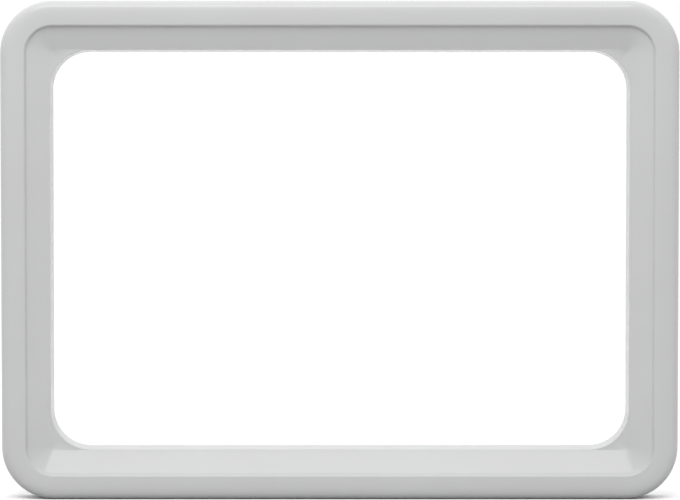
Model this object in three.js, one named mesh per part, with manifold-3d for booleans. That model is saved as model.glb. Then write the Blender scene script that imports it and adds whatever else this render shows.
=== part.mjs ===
// Wall poster frame for one A4 sheet in landscape: a moulded rim, two clear sheets with room for a
// poster between them, turn buttons that hold the sheets in, and keyhole plates to hang it by.
// Millimetres, +Z up, the front faces -Y, origin at the middle of the frame.
import * as THREE from "three";
import { mergeVertices } from "three/addons/utils/BufferGeometryUtils.js";
import Module from "manifold-3d";

const wasm = await Module();
wasm.setup();

// The poster and the clear sheets on either side of it.
const POSTER_WIDTH = 297;
const POSTER_HEIGHT = 210;
const POSTER_ROOM = 0.4;
const SHEET_THICKNESS = 1;
const SHEET_CORNER_RADIUS = 2;
const REBATE_CLEARANCE = 0.5; // between the sheets' edges and the rebate, each side
const FIT_GAP = 0.2; // between pieces that lie on each other

// The rim in front view. Insets are measured inwards from its outer edge.
const RIM_BEYOND_POSTER = 16.5;
const WINDOW_OVERLAP = 8.8; // poster margin that the rim covers, each side
const BAND_WIDTH = 11.8;
const STEP_RUN = 0.9; // how far in the step's face leans over its drop
const FLANGE_REACH = 0.6; // flat between the foot of the slope and the window, along the rails
const WINDOW_DRAFT = 1.4; // how much the window narrows towards its back, each side
const OUTER_CORNER_RADIUS = 25.5;
const WINDOW_CORNER_RADIUS = 18;

// The rim in section. Depths are measured backwards from the crest of the band.
const EDGE_DROP = 5.2; // where the rounded outer edge has become the outer wall
const EDGE_FULLNESS = 0.77; // how square the rounded outer edge is: 0 a chamfer, 1 a corner
const CROWN_FLATNESS = 0.72; // how far out the crown of the band stays flat
const STEP_DROP = 2.4;
const STEP_TOP_RADIUS = 1.2;
const STEP_FOOT_RADIUS = 1.5;
const FLOOR_DEPTH = 6.7; // the flat at the foot of the slope
const WINDOW_DEPTH = 8.5; // of the wall that runs back from there round the window
const WINDOW_EDGE_RADIUS = 0.5;
const BACK_EDGE_RADIUS = 0.4;
const WALL = 2;
const EDGE_BACK_RUN = 2.4; // how far in the back of the rounded outer edge leans

// Stiffening behind the rim.
const REBATE_WALL = 1.6;
const REBATE_CORNER_RADIUS = 1;
const RIB_THICKNESS = 1.4;
const RIB_BAYS = 3; // between neighbouring buttons of a long rail
const BOSS_RADIUS = 3.4;

// Turn buttons.
const BUTTON_THICKNESS = 1.6;
const BUTTON_RADIUS = 5;
const BUTTON_TIP_RADIUS = 3.8;
const BUTTON_GRIP = 6; // how far a button's tip reaches over the sheets
const GRIP_RIDGE_WIDTH = 1.2;
const GRIP_RIDGE_LENGTH = 6;
const GRIP_RIDGE_HEIGHT = 0.8;
const BUTTON_SPACING = 96; // along a long rail

// Pan-head screws.
const SCREW_RADIUS = 1.4;
const SCREW_LENGTH = 8;
const SCREW_TIP = 2;
const SCREW_TIP_RADIUS = 0.4;
const SCREW_HEAD_RADIUS = 2.9;
const SCREW_HEAD_TOP_RADIUS = 2.1;
const SCREW_HEAD_HEIGHT = 1.3;
const SCREW_HEAD_SIDE = 0.65; // height of the head's straight side
const SCREW_CLEARANCE = 0.25; // all round the shank
const REAR_MARGIN = 0.5; // the screw heads stay this far inside the rear face

// Keyhole plates.
const PLATE_THICKNESS = 1.2;
const PLATE_WIDTH = 10.6;
const PLATE_SCREW_SPACING = 32;
const PLATE_DROP = 55.5; // from the top edge down to the middle of a plate
const KEYHOLE_ENTRY_RADIUS = 4;
const KEYHOLE_SLOT_RADIUS = 2.2;
const KEYHOLE_RISE = 8.5;

const CORNER_STEPS = 9;
const ROUND_STEPS = 16;
const BAND_STEPS = 9;
const FILLET_STEPS = 4;

// Everything below follows from the values above.
const halfWidth = POSTER_WIDTH / 2 + RIM_BEYOND_POSTER;
const halfHeight = POSTER_HEIGHT / 2 + RIM_BEYOND_POSTER;
const windowInset = RIM_BEYOND_POSTER + WINDOW_OVERLAP;
const windowEdge = windowInset - WINDOW_DRAFT; // its front edge
const wallBack = windowInset - WALL; // the back of the window's wall, at its rear end
const wallBackFront = windowEdge - WALL; // and at its front end
const stepFoot = BAND_WIDTH + STEP_RUN;
const stepAngle = Math.atan2(STEP_DROP, STEP_RUN);
const slopeFoot = windowEdge - FLANGE_REACH;
const slopeAngle = Math.atan2(FLOOR_DEPTH - STEP_DROP, slopeFoot - stepFoot);
const rebateInset = RIM_BEYOND_POSTER - REBATE_CLEARANCE;
const seatDepth = FLOOR_DEPTH + WINDOW_DEPTH;
const frontSheetDepth = seatDepth + FIT_GAP;
const backSheetDepth = frontSheetDepth + SHEET_THICKNESS + POSTER_ROOM;
const bossDepth = backSheetDepth + SHEET_THICKNESS;
const buttonDepth = bossDepth + FIT_GAP;
const buttonScrewDepth = buttonDepth + BUTTON_THICKNESS + FIT_GAP;
const plateScrewDepth = buttonDepth + PLATE_THICKNESS + FIT_GAP;
const rearDepth = Math.max(buttonScrewDepth, plateScrewDepth) + SCREW_HEAD_HEIGHT + REAR_MARGIN;
const channelInset = (WALL + rebateInset - REBATE_WALL) / 2; // middle of the rear channel

// Height in the frame of a depth behind the crest.
const level = (depth) => rearDepth / 2 - depth;
const slopeDepth = (inset) => STEP_DROP + (inset - stepFoot) * Math.tan(slopeAngle);
const wallAcrossSlope = WALL / Math.cos(slopeAngle);

function solidOf(geometry) {
  const bare = geometry.clone();
  bare.deleteAttribute("normal");
  bare.deleteAttribute("uv");
  const merged = mergeVertices(bare, 1e-4);
  return new wasm.Manifold(
    new wasm.Mesh({
      numProp: 3,
      vertProperties: merged.attributes.position.array,
      triVerts: new Uint32Array(merged.index.array),
    }),
  );
}

function geometryOf(solid) {
  const mesh = solid.getMesh();
  const geometry = new THREE.BufferGeometry();
  geometry.setAttribute("position", new THREE.BufferAttribute(mesh.vertProperties, 3));
  geometry.setIndex(new THREE.BufferAttribute(mesh.triVerts, 1));
  geometry.computeVertexNormals();
  return geometry;
}

const join = (solids) => solids.reduce((sum, solid) => sum.add(solid));

// Points of a rectangle with rounded corners, inset from the outer edge of the frame.
function roundedLoop(inset, radius) {
  const loop = [];
  const corners = [[1, 1], [-1, 1], [-1, -1], [1, -1]];
  corners.forEach(([sideX, sideY], corner) => {
    const x = sideX * (halfWidth - inset - radius);
    const y = sideY * (halfHeight - inset - radius);
    for (let step = 0; step <= CORNER_STEPS; step++) {
      const turn = (Math.PI / 2) * (corner + step / CORNER_STEPS);
      loop.push(new THREE.Vector2(x + radius * Math.cos(turn), y + radius * Math.sin(turn)));
    }
  });
  return loop;
}

const outlineShape = (inset, radius) => new THREE.Shape(roundedLoop(inset, radius));

// Radius of a corner that runs parallel to the outer edge, or to the window.
const rimRadius = (inset) => OUTER_CORNER_RADIUS - inset;
const windowRadius = (inset) => WINDOW_CORNER_RADIUS + windowInset - inset;

// Closed ring that carries a section, given as points of inset and depth, round the frame.
function sectionRing(section) {
  const loops = section.map(({ inset, depth, radius }) =>
    roundedLoop(inset, radius ?? rimRadius(inset)).map(
      (point) => new THREE.Vector3(point.x, point.y, level(depth)),
    ),
  );
  const count = loops[0].length;
  const index = [];
  loops.forEach((_, j) => {
    const next = (j + 1) % loops.length;
    for (let i = 0; i < count; i++) {
      const k = (i + 1) % count;
      index.push(j * count + i, j * count + k, next * count + k);
      index.push(j * count + i, next * count + k, next * count + i);
    }
  });
  return new THREE.BufferGeometry().setFromPoints(loops.flat()).setIndex(index);
}

// Flat plate of a shape, between two depths.
function plate(shape, frontDepth, thickness) {
  const geometry = new THREE.ExtrudeGeometry(shape, {
    depth: thickness,
    bevelEnabled: false,
    curveSegments: ROUND_STEPS / 2,
  });
  return geometry.translate(0, 0, level(frontDepth + thickness));
}

// Round bar or bore along the depth of the frame.
function roundBar(x, y, radius, frontDepth, backDepth) {
  return new THREE.CylinderGeometry(radius, radius, backDepth - frontDepth, ROUND_STEPS)
    .rotateX(Math.PI / 2)
    .translate(x, y, level((frontDepth + backDepth) / 2));
}

// Where the turn buttons and the keyhole plates sit, and which way is inwards.
const railX = halfWidth - channelInset;
const railY = halfHeight - channelInset;
const pivots = [
  { name: "top_left", x: -BUTTON_SPACING, y: railY, inwards: -Math.PI / 2 },
  { name: "top_middle", x: 0, y: railY, inwards: -Math.PI / 2 },
  { name: "top_right", x: BUTTON_SPACING, y: railY, inwards: -Math.PI / 2 },
  { name: "right", x: railX, y: 0, inwards: Math.PI },
  { name: "bottom_right", x: BUTTON_SPACING, y: -railY, inwards: Math.PI / 2 },
  { name: "bottom_middle", x: 0, y: -railY, inwards: Math.PI / 2 },
  { name: "bottom_left", x: -BUTTON_SPACING, y: -railY, inwards: Math.PI / 2 },
  { name: "left", x: -railX, y: 0, inwards: 0 },
];
const hangers = [
  { name: "left", x: -railX, y: halfHeight - PLATE_DROP },
  { name: "right", x: railX, y: halfHeight - PLATE_DROP },
];
const plateScrews = hangers.flatMap(({ name, x, y }) => [
  { name: name + "_upper", x, y: y + PLATE_SCREW_SPACING / 2 },
  { name: name + "_lower", x, y: y - PLATE_SCREW_SPACING / 2 },
]);

// Visible face of the rim, from the rear edge of the outer wall over the band to the top of the slope.
function faceSection() {
  const crest = BAND_WIDTH - STEP_TOP_RADIUS * Math.tan(stepAngle / 2);
  const footEnd = STEP_FOOT_RADIUS * Math.tan((stepAngle - slopeAngle) / 2); // along the slope
  const wallEnd = new THREE.Vector2(0, rearDepth - BACK_EDGE_RADIUS);
  const band = new THREE.CubicBezierCurve(
    new THREE.Vector2(0, EDGE_DROP),
    new THREE.Vector2(0, EDGE_DROP * (1 - EDGE_FULLNESS)),
    new THREE.Vector2(crest * (1 - CROWN_FLATNESS), 0),
    new THREE.Vector2(crest, 0),
  );
  const top = new THREE.EllipseCurve(
    crest, STEP_TOP_RADIUS, STEP_TOP_RADIUS, STEP_TOP_RADIUS, -Math.PI / 2, stepAngle - Math.PI / 2,
  );
  const foot = new THREE.EllipseCurve(
    stepFoot + footEnd * Math.cos(slopeAngle) + STEP_FOOT_RADIUS * Math.sin(slopeAngle),
    STEP_DROP + footEnd * Math.sin(slopeAngle) - STEP_FOOT_RADIUS * Math.cos(slopeAngle),
    STEP_FOOT_RADIUS, STEP_FOOT_RADIUS, Math.PI / 2 + stepAngle, Math.PI / 2 + slopeAngle, true,
  );
  const points = [
    wallEnd,
    ...band.getPoints(BAND_STEPS),
    ...top.getPoints(FILLET_STEPS).slice(1),
    ...foot.getPoints(FILLET_STEPS),
  ];
  return points.map(({ x, y }) => ({ inset: x, depth: y }));
}

// Flat at the foot of the slope and the wall behind it, which goes round the window. The window's corners
// are rounder than those of the slope, so the flat widens to a web in each corner.
function windowSection() {
  const round = WINDOW_EDGE_RADIUS;
  const nose = new THREE.EllipseCurve(
    windowEdge - round, FLOOR_DEPTH + round, round, round, -Math.PI / 2, 0, false,
  );
  const edge = nose.getPoints(FILLET_STEPS).map((point) => ({ inset: point.x, depth: point.y }));
  edge.push({ inset: windowInset, depth: seatDepth - BACK_EDGE_RADIUS });
  edge.push({ inset: windowInset - BACK_EDGE_RADIUS, depth: seatDepth });
  const around = edge.map((point) => ({ ...point, radius: windowRadius(point.inset) }));
  return [{ inset: slopeFoot, depth: FLOOR_DEPTH }, ...around];
}

// Back of the rim, from the rear end of the window's wall, on which the front sheet lies, out to the rear
// edge of the outer wall.
function backSection() {
  const corner = wallBackFront - BACK_EDGE_RADIUS;
  return [
    { inset: wallBack, depth: seatDepth, radius: windowRadius(wallBack) },
    { inset: wallBackFront, depth: FLOOR_DEPTH + WALL, radius: windowRadius(wallBackFront) },
    { inset: corner, depth: slopeDepth(corner) + wallAcrossSlope },
    { inset: stepFoot, depth: STEP_DROP + wallAcrossSlope },
    { inset: BAND_WIDTH - WALL, depth: WALL },
    { inset: WALL + EDGE_BACK_RUN, depth: WALL },
    { inset: WALL, depth: EDGE_DROP },
    { inset: WALL, depth: rearDepth },
    { inset: BACK_EDGE_RADIUS, depth: rearDepth },
  ];
}

// Space behind the middle of the rim's wall, to which ribs and bosses are trimmed.
function trimSection() {
  const wallMiddle = windowInset - WALL / 2;
  const wallMiddleFront = windowEdge - WALL / 2;
  const radius = windowRadius(wallMiddle);
  return [
    { inset: WALL / 2, depth: rearDepth },
    { inset: WALL / 2, depth: EDGE_DROP },
    { inset: WALL + EDGE_BACK_RUN / 2, depth: WALL },
    { inset: BAND_WIDTH - WALL, depth: WALL / 2 },
    { inset: stepFoot, depth: STEP_DROP + wallAcrossSlope / 2 },
    { inset: wallBackFront, depth: slopeDepth(wallBackFront) + wallAcrossSlope / 2 },
    { inset: wallMiddleFront, depth: FLOOR_DEPTH + WALL / 2, radius: windowRadius(wallMiddleFront) },
    { inset: wallMiddle, depth: seatDepth, radius },
    { inset: wallMiddle, depth: rearDepth, radius },
  ];
}

// Wall round the sheets' edges. Its corners are nearly square, as the sheets' corners are.
function rebateWall() {
  const shape = outlineShape(rebateInset - REBATE_WALL, REBATE_CORNER_RADIUS + REBATE_WALL);
  shape.holes.push(outlineShape(rebateInset, REBATE_CORNER_RADIUS));
  return plate(shape, 0, bossDepth);
}

// Cross ribs over the rails, between the screw bosses and clear of the keyhole plates, and a web
// across each corner.
function crossRibs() {
  const ribs = [];
  const pitch = BUTTON_SPACING / RIB_BAYS;
  const rail = windowInset;
  const rib = (width, height) => new THREE.BoxGeometry(width, height, seatDepth);
  const place = (geometry, x, y) => ribs.push(geometry.translate(x, y, level(seatDepth / 2)));
  const cornerOffset = windowInset + WINDOW_CORNER_RADIUS - OUTER_CORNER_RADIUS;
  const webLength = OUTER_CORNER_RADIUS + cornerOffset * Math.SQRT2 - WINDOW_CORNER_RADIUS;
  const webMiddle = OUTER_CORNER_RADIUS - (OUTER_CORNER_RADIUS - webLength / 2) * Math.SQRT1_2;
  for (const side of [-1, 1]) {
    for (let step = -RIB_BAYS - 1; step <= RIB_BAYS + 1; step++)
      if (step % RIB_BAYS) place(rib(RIB_THICKNESS, rail), step * pitch, side * (halfHeight - rail / 2));
    for (let step = -2; step <= 1; step++)
      if (step) place(rib(rail, RIB_THICKNESS), side * (halfWidth - rail / 2), step * pitch);
    for (const end of [-1, 1]) {
      const web = rib(webLength, RIB_THICKNESS).rotateZ(side * end * (Math.PI / 4));
      place(web, side * (halfWidth - webMiddle), end * (halfHeight - webMiddle));
    }
  }
  return ribs;
}

function frontFrame() {
  const rim = solidOf(sectionRing([...faceSection(), ...windowSection(), ...backSection()]));
  const screws = [
    ...pivots.map((place) => ({ ...place, head: buttonScrewDepth })),
    ...plateScrews.map((place) => ({ ...place, head: plateScrewDepth })),
  ];
  const bosses = screws.map(({ x, y }) => roundBar(x, y, BOSS_RADIUS, 0, bossDepth));
  const inside = join([rebateWall(), ...crossRibs(), ...bosses].map(solidOf));
  const trimmed = inside.intersect(solidOf(sectionRing(trimSection())));
  const bores = screws.map(({ x, y, head }) =>
    roundBar(x, y, SCREW_RADIUS + SCREW_CLEARANCE, head - SCREW_LENGTH - FIT_GAP, rearDepth),
  );
  return geometryOf(rim.add(trimmed).subtract(join(bores.map(solidOf))));
}

function sheet(depth) {
  const shape = outlineShape(RIM_BEYOND_POSTER, SHEET_CORNER_RADIUS);
  return plate(shape, depth, SHEET_THICKNESS);
}

// Turn button on its pivot at the origin, pointing along +X.
function turnButton() {
  const reach = rebateInset + BUTTON_GRIP - channelInset - BUTTON_TIP_RADIUS;
  const lean = Math.asin((BUTTON_RADIUS - BUTTON_TIP_RADIUS) / reach);
  const shape = new THREE.Shape();
  shape.absarc(0, 0, BUTTON_RADIUS, Math.PI / 2 - lean, Math.PI * 1.5 + lean, false);
  shape.absarc(reach, 0, BUTTON_TIP_RADIUS, lean - Math.PI / 2, Math.PI / 2 - lean, false);
  const hole = new THREE.Path();
  hole.absarc(0, 0, SCREW_RADIUS + SCREW_CLEARANCE, 0, Math.PI * 2, false);
  shape.holes.push(hole);
  const body = new THREE.ExtrudeGeometry(shape, {
    depth: BUTTON_THICKNESS,
    bevelEnabled: false,
    curveSegments: ROUND_STEPS / 2,
  }).translate(0, 0, level(buttonDepth + BUTTON_THICKNESS));
  const ridgeFront = buttonDepth + BUTTON_THICKNESS / 2;
  const ridgeBack = buttonDepth + BUTTON_THICKNESS + GRIP_RIDGE_HEIGHT;
  const ridge = new THREE.BoxGeometry(GRIP_RIDGE_WIDTH, GRIP_RIDGE_LENGTH, ridgeBack - ridgeFront)
    .translate(reach, 0, level((ridgeFront + ridgeBack) / 2));
  return geometryOf(solidOf(body).add(solidOf(ridge)));
}

// Screw on its own axis, with the underside of its head at the given depth.
function screw(headDepth) {
  const profile = [
    new THREE.Vector2(0, -SCREW_LENGTH),
    new THREE.Vector2(SCREW_TIP_RADIUS, -SCREW_LENGTH),
    new THREE.Vector2(SCREW_RADIUS, SCREW_TIP - SCREW_LENGTH),
    new THREE.Vector2(SCREW_RADIUS, 0),
    new THREE.Vector2(SCREW_HEAD_RADIUS, 0),
    new THREE.Vector2(SCREW_HEAD_RADIUS, SCREW_HEAD_SIDE),
    new THREE.Vector2(SCREW_HEAD_TOP_RADIUS, SCREW_HEAD_HEIGHT),
    new THREE.Vector2(0, SCREW_HEAD_HEIGHT),
  ];
  return new THREE.LatheGeometry(profile, ROUND_STEPS)
    .rotateX(-Math.PI / 2)
    .translate(0, 0, level(headDepth));
}

// Keyhole plate on its own middle, with its slot above the entry hole.
function hangerPlate() {
  const half = PLATE_WIDTH / 2;
  const end = PLATE_SCREW_SPACING / 2;
  const shape = new THREE.Shape();
  shape.absarc(0, end, half, 0, Math.PI, false);
  shape.absarc(0, -end, half, Math.PI, Math.PI * 2, false);
  for (const y of [-end, end]) {
    const hole = new THREE.Path();
    hole.absarc(0, y, SCREW_RADIUS + SCREW_CLEARANCE, 0, Math.PI * 2, false);
    shape.holes.push(hole);
  }
  const entry = -KEYHOLE_RISE / 2;
  const neck = Math.asin(KEYHOLE_SLOT_RADIUS / KEYHOLE_ENTRY_RADIUS);
  const keyhole = new THREE.Path();
  keyhole.absarc(0, entry, KEYHOLE_ENTRY_RADIUS, Math.PI / 2 + neck, Math.PI * 2.5 - neck, false);
  keyhole.absarc(0, entry + KEYHOLE_RISE, KEYHOLE_SLOT_RADIUS, 0, Math.PI, false);
  shape.holes.push(keyhole);
  return plate(shape, buttonDepth, PLATE_THICKNESS);
}

const plastic = { color: "#cfd0ce", roughness: 0.35, metalness: 0 };
const clear = { color: "#f3f7f7", roughness: 0.05, metalness: 0, transparent: true, opacity: 0.15 };
const steel = { color: "#b9babb", roughness: 0.35, metalness: 1 };

function piece(name, geometry, look, { x = 0, y = 0, turn = 0 } = {}) {
  const mesh = new THREE.Mesh(geometry, new THREE.MeshStandardMaterial(look));
  mesh.name = name;
  mesh.position.set(x, y, 0);
  mesh.rotation.z = turn;
  return mesh;
}

const frame = new THREE.Group();
frame.name = "poster_frame";
frame.rotation.x = Math.PI / 2; // stands the frame up, with its front towards -Y
frame.add(piece("front_frame", frontFrame(), plastic));
frame.add(piece("front_sheet", sheet(frontSheetDepth), clear));
frame.add(piece("back_sheet", sheet(backSheetDepth), clear));
for (const { name, x, y, inwards } of pivots) {
  frame.add(piece("turn_button_" + name, turnButton(), plastic, { x, y, turn: inwards }));
  frame.add(piece("button_screw_" + name, screw(buttonScrewDepth), steel, { x, y }));
}
for (const { name, x, y } of hangers)
  frame.add(piece("hanger_plate_" + name, hangerPlate(), steel, { x, y }));
for (const { name, x, y } of plateScrews)
  frame.add(piece("hanger_screw_" + name, screw(plateScrewDepth), steel, { x, y }));

const part = new THREE.Group();
part.add(frame);

export default part;
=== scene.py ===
"""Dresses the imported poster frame: a fine rim, clear sheets, turn buttons, screws and hanger plates.

Sizes are in millimetres and become metres where they go into a mesh. X runs to the right, Y from the
front to the wall and Z up, as in the CAD model.
"""

import logging
import math
from abc import ABC, abstractmethod
from collections.abc import Iterable, Mapping, Sequence
from dataclasses import dataclass
from enum import Enum
from typing import NamedTuple, TypeVar

import bmesh
import bpy
from bmesh.types import BMEdge, BMesh, BMVert
from bpy.types import Material, Node, NodeSocket, NodeTree, Object, World
from mathutils import Matrix, Vector
from mathutils.geometry import interpolate_bezier


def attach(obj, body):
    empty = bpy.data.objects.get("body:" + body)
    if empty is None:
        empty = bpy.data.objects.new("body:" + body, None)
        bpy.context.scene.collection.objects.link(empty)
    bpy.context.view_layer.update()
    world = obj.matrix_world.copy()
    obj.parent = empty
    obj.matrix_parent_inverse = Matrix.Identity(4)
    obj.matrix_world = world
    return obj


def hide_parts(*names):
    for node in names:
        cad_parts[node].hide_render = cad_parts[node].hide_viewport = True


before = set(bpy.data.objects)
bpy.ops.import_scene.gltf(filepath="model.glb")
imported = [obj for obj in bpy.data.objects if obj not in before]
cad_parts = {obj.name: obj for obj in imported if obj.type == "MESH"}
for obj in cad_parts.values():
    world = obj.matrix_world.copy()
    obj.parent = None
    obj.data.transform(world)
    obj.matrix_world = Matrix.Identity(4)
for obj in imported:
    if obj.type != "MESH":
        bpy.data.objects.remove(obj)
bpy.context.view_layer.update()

MM = 0.001
# Vertices closer than this are one, in millimetres.
MERGE_MM = 0.002
# Folds sharper than this stay sharp in the shading.
SHARP_DEG = 32.0
# Folds sharper than this are the edges of a plate or a rib, which get a rounding.
EDGE_DEG = 50.0
# Faces round a turned body.
ROUND_STEPS = 32
# Signs of X and Z in the four corners, with rising angle from +X towards +Z.
QUARTERS = ((1, 1), (-1, 1), (-1, -1), (1, -1))
# Range that most values of a noise texture lie in.
NOISE_LOW = 0.3
NOISE_HIGH = 0.7
Item = TypeVar("Item")
log = logging.getLogger("poster_frame")


class Slot(Enum):
    """Material slots of the record."""

    FRAME = "frame_plastic"
    BUTTON = "button_plastic"
    CLEAR = "clear_sheet"
    STEEL = "zinc_steel"


class Way(Enum):
    """Way in from a rail towards the window, as an angle from +X towards +Z, in degrees."""

    RIGHT = 0.0
    UP = 90.0
    LEFT = 180.0
    DOWN = 270.0


class Rounded(Enum):
    """What a rounding takes, as the bevel operator names it."""

    EDGES = "EDGES"
    POINTS = "VERTICES"


@dataclass(frozen=True)
class Post:
    """A screw post on the back of a rail.

    Attributes:
        name: Where it is, as the CAD nodes name it.
        x: Place to the right of the middle, in millimetres.
        z: Place above the middle, in millimetres.
        inwards: Way to the window.
    """

    name: str
    x: float
    z: float
    inwards: Way = Way.RIGHT


@dataclass(frozen=True)
class Outline:
    """Outer sizes of the frame and the places and depths that its pieces share, in millimetres.

    Attributes:
        width: Width over all.
        height: Height over all.
        depth: Depth from the crest of the rim to its rear edge.
        corner: Radius of the outer corners.
        rail: How far in from the outer edge the screws stand.
        post_top: Depth of the flat tops of the posts.
        play: Gap between pieces that lie on each other.
        screw_hole: Radius of the holes and bores for the screws.
        button_thickness: Thickness of the turn buttons.
        button_spacing: Spacing of the buttons along the long rails.
        plate_thickness: Thickness of the hanger plates.
        plate_drop: How far below the top edge the middles of the plates lie.
        plate_reach: How far from the middle of a plate its screws stand.
    """

    width: float = 330.0
    height: float = 243.0
    depth: float = 21.6
    corner: float = 25.5
    rail: float = 8.2
    post_top: float = 17.8
    play: float = 0.2
    screw_hole: float = 1.65
    button_thickness: float = 1.6
    button_spacing: float = 96.0
    plate_thickness: float = 1.2
    plate_drop: float = 55.5
    plate_reach: float = 16.0

    def spot(self, x: float, depth: float, z: float) -> Vector:
        """Gives the point in metres at a depth behind the crest of the rim."""
        return Vector((x, depth - self.depth / 2, z)) * MM

    @property
    def button_posts(self) -> list[Post]:
        """Gives the posts of the turn buttons.

        Returns:
            The posts, clockwise from the top left.
        """
        x = self.width / 2 - self.rail
        z = self.height / 2 - self.rail
        spacing = self.button_spacing
        return [
            Post("top_left", -spacing, z, Way.DOWN),
            Post("top_middle", 0.0, z, Way.DOWN),
            Post("top_right", spacing, z, Way.DOWN),
            Post("right", x, 0.0, Way.LEFT),
            Post("bottom_right", spacing, -z, Way.UP),
            Post("bottom_middle", 0.0, -z, Way.UP),
            Post("bottom_left", -spacing, -z, Way.UP),
            Post("left", -x, 0.0, Way.RIGHT),
        ]

    @property
    def plate_middles(self) -> list[Post]:
        """Gives the middles of the hanger plates.

        Returns:
            The left one and the right one.
        """
        x = self.width / 2 - self.rail
        z = self.height / 2 - self.plate_drop
        return [Post("left", -x, z), Post("right", x, z)]

    @property
    def plate_posts(self) -> list[Post]:
        """Gives the posts of the screws that hold the hanger plates.

        Returns:
            The upper and the lower post of each plate.
        """
        ends = {"upper": self.plate_reach, "lower": -self.plate_reach}
        return [
            Post(f"{plate.name}_{end}", plate.x, plate.z + offset)
            for plate in self.plate_middles
            for end, offset in ends.items()
        ]


def linear(code: str) -> tuple[float, float, float, float]:
    """Turns an sRGB hex colour into linear RGBA.

    Args:
        code: Colour such as "#CFD0CE".

    Returns:
        The four linear channels, with alpha 1.
    """
    channels = (int(code[i : i + 2], 16) / 255 for i in (1, 3, 5))
    red, green, blue = (c / 12.92 if c <= 0.04045 else ((c + 0.055) / 1.055) ** 2.4 for c in channels)
    return red, green, blue, 1.0


def add_node(
    tree: NodeTree,
    kind: str,
    settings: Mapping[str | int, object] | None = None,
    links: Mapping[str | int, NodeSocket] | None = None,
) -> Node:
    """Adds a node with its settings and links.

    Args:
        tree: Node tree that takes the node.
        kind: Blender's name for the node type.
        settings: Values by input name or number, or by the name of a property of the node.
        links: Output sockets by the input that they feed.

    Returns:
        The new node.
    """
    node = tree.nodes.new(kind)
    for key, value in (settings or {}).items():
        if isinstance(key, int) or key in node.inputs:
            node.inputs[key].default_value = value
        else:
            setattr(node, key, value)
    for key, socket in (links or {}).items():
        tree.links.new(socket, node.inputs[key])
    return node


def blank_material(name: str) -> Material:
    """Makes a node material with no nodes in it.

    Args:
        name: Common name of the material.

    Returns:
        The material.
    """
    material = bpy.data.materials.new(name)
    material.use_nodes = True
    material.node_tree.nodes.clear()
    return material


@dataclass(frozen=True)
class MouldedPlastic:
    """Opaque thermoplastic from a polished mould.

    Attributes:
        name: Common name of the material.
        colour: Colour of the pigment.
        cloud: Colour where the melt flowed slower.
        gloss: Roughness where the mould was polished best.
        dull: Roughness where it was polished least.
        ior: Index of refraction.
        cloud_mm: Size of the flow clouds.
        peel_mm: Size of the faint waves that the mould leaves.
        peel_height_mm: Height of the waves at full strength.
        peel_strength: Strength of the waves.
        grain_mm: Size of the finest grain, drawn coarser than the real one so that it shows.
        grain_height_mm: Height of the grain at full strength.
        grain_strength: Strength of the grain.
    """

    name: str
    colour: str
    cloud: str
    gloss: float
    dull: float
    ior: float
    cloud_mm: float = 55.0
    peel_mm: float = 9.0
    peel_height_mm: float = 0.3
    peel_strength: float = 0.04
    grain_mm: float = 0.7
    grain_height_mm: float = 0.03
    grain_strength: float = 0.05

    def material(self) -> Material:
        """Makes the material: an even pigment with a soft sheen, faint flow clouds and a fine mould grain.

        Returns:
            The material.
        """
        material = blank_material(self.name)
        tree = material.node_tree
        place = add_node(tree, "ShaderNodeTexCoord").outputs["Object"]
        clouds, peel, grain = (
            add_node(
                tree,
                "ShaderNodeTexNoise",
                {"Scale": 1 / (size_mm * MM), "Detail": detail, "Roughness": roughness},
                {"Vector": place},
            ).outputs["Fac"]
            for size_mm, detail, roughness in (
                (self.cloud_mm, 3.0, 0.55),
                (self.peel_mm, 2.0, 0.4),
                (self.grain_mm, 2.0, 0.6),
            )
        )
        pigment = add_node(
            tree,
            "ShaderNodeMix",
            {"data_type": "RGBA", "A": linear(self.colour), "B": linear(self.cloud)},
            {"Factor": clouds},
        )
        sheen = add_node(
            tree,
            "ShaderNodeMapRange",
            {"From Min": NOISE_LOW, "From Max": NOISE_HIGH, "To Min": self.gloss, "To Max": self.dull},
            {"Value": peel},
        )
        waves = add_node(
            tree,
            "ShaderNodeBump",
            {"Strength": self.peel_strength, "Distance": self.peel_height_mm * MM},
            {"Height": peel},
        )
        relief = add_node(
            tree,
            "ShaderNodeBump",
            {"Strength": self.grain_strength, "Distance": self.grain_height_mm * MM},
            {"Height": grain, "Normal": waves.outputs["Normal"]},
        )
        shader = add_node(
            tree,
            "ShaderNodeBsdfPrincipled",
            {"IOR": self.ior},
            {
                "Base Color": pigment.outputs["Result"],
                "Roughness": sheen.outputs["Result"],
                "Normal": relief.outputs["Normal"],
            },
        )
        add_node(tree, "ShaderNodeOutputMaterial", links={"Surface": shader.outputs["BSDF"]})
        return material


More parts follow.
